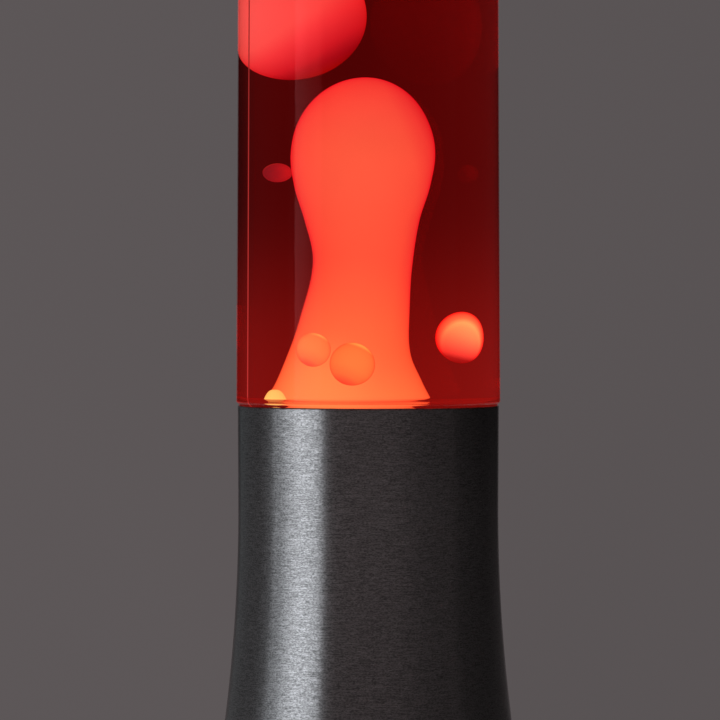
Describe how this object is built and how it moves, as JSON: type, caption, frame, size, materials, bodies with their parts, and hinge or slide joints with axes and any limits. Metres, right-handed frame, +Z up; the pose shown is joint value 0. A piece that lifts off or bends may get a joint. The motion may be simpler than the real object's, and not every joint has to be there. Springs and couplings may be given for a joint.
{
  "type": "lava lamp",
  "caption": "Table lamp with a flared metal base and a lift-off glass bottle of red liquid in which orange wax rises and sinks, under a metal cap.",
  "frame": {"origin": "middle of the surface that the lamp's rubber feet stand on", "axes": "+Z up along the lamp's axis, +Y towards the back, where the mains cord would enter, +X to the right"},
  "size_m": [0.11, 0.11, 0.4],
  "materials": {
    "base_metal": "satin",
    "plain_steel": "satin",
    "zinc_steel": "satin",
    "brass": "satin",
    "foot_rubber": "matte",
    "black_plastic": "matte",
    "white_plastic": "matte",
    "holder_ceramic": "matte",
    "lead_blue": "satin",
    "lead_brown": "satin",
    "insulator_glass": "gloss",
    "solder": "satin",
    "bulb_glass": "gloss",
    "bulb_wire": "satin",
    "bottle_clear": "gloss",
    "liquid_red": "gloss",
    "wax_orange": "satin",
    "closure_tin": "satin",
    "seal_liner": "matte"
  },
  "bodies": {
    "base": {"base_shell": "base_metal", "seat_ring": "plain_steel", "base_plate": "plain_steel", "rubber_feet": "foot_rubber", "plate_screws": "zinc_steel", "plate_nuts": "zinc_steel", "cord_grommet": "black_plastic", "holder_bridge": "zinc_steel", "bridge_screws": "zinc_steel", "bridge_nuts": "zinc_steel", "nipple_tube": "zinc_steel", "nipple_nuts": "zinc_steel", "nipple_washer": "zinc_steel", "holder_cap": "black_plastic", "holder_insert": "holder_ceramic", "holder_barrel": "black_plastic", "screw_shell": "brass", "centre_contact": "brass", "terminal_block": "white_plastic", "terminal_inserts": "brass", "terminal_screws": "zinc_steel", "lead_live": "lead_brown", "lead_neutral": "lead_blue"},
    "bulb_carrier": {"bulb_contact": "solder", "bulb_insulator": "insulator_glass"},
    "bulb": {"bulb_screw_cap": "brass", "bulb_envelope": "bulb_glass", "bulb_stem": "bulb_glass", "bulb_wires": "bulb_wire", "bulb_filament": "bulb_wire"},
    "bottle": {"bottle_glass": "bottle_clear", "liquid": "liquid_red", "wax_column": "wax_orange", "heat_coil": "plain_steel", "floor_drop": "wax_orange", "bottle_closure": "closure_tin", "closure_seal": "seal_liner"},
    "cap": {"cap_shell": "base_metal", "cap_collar": "black_plastic"},
    "upper_wax": {"upper_blob": "wax_orange"},
    "side_wax": {"side_blob": "wax_orange"},
    "small_bead": {"front_bead_small": "wax_orange"},
    "large_bead": {"front_bead_large": "wax_orange"},
    "back_wax": {"back_droplet": "wax_orange"}
  },
  "joints": [
    {"name": "bottle_lift", "type": "slide", "parent": "base", "child": "bottle", "axis": [0, 0, 1], "range_m": [0, 0.08]},
    {"name": "cap_lift", "type": "slide", "parent": "bottle", "child": "cap", "axis": [0, 0, 1], "range_m": [0, 0.07]},
    {"name": "bulb_rise", "type": "slide", "parent": "base", "child": "bulb_carrier", "axis": [0, 0, 1], "range_m": [0, 0.0141]},
    {"name": "bulb_turn", "type": "hinge", "parent": "bulb_carrier", "child": "bulb", "pos_m": [0, 0, 0.0777], "axis": [0, 0, 1], "range_deg": [0, 1800.5]},
    {"name": "upper_wax_drift", "type": "slide", "parent": "bottle", "child": "upper_wax", "axis": [0, 0, 1], "range_m": [0, 0.038], "deforming": ["liquid"]},
    {"name": "side_wax_drift", "type": "slide", "parent": "bottle", "child": "side_wax", "axis": [0, 0, 1], "range_m": [-0.009, 0.1], "deforming": ["liquid"]},
    {"name": "small_bead_drift", "type": "slide", "parent": "bottle", "child": "small_bead", "axis": [0, 0, 1], "range_m": [-0.009, 0.15], "deforming": ["liquid"]},
    {"name": "large_bead_drift", "type": "slide", "parent": "bottle", "child": "large_bead", "axis": [0, 0, 1], "range_m": [-0.003, 0.15], "deforming": ["liquid"]},
    {"name": "back_wax_drift", "type": "slide", "parent": "bottle", "child": "back_wax", "axis": [0, 0, 1], "range_m": [-0.05, 0.012], "deforming": ["liquid"]}
  ],
  "couplings": [
    {"joint": "bulb_turn", "follows": "bulb_rise", "rad_per_m": 2228.1}
  ]
}
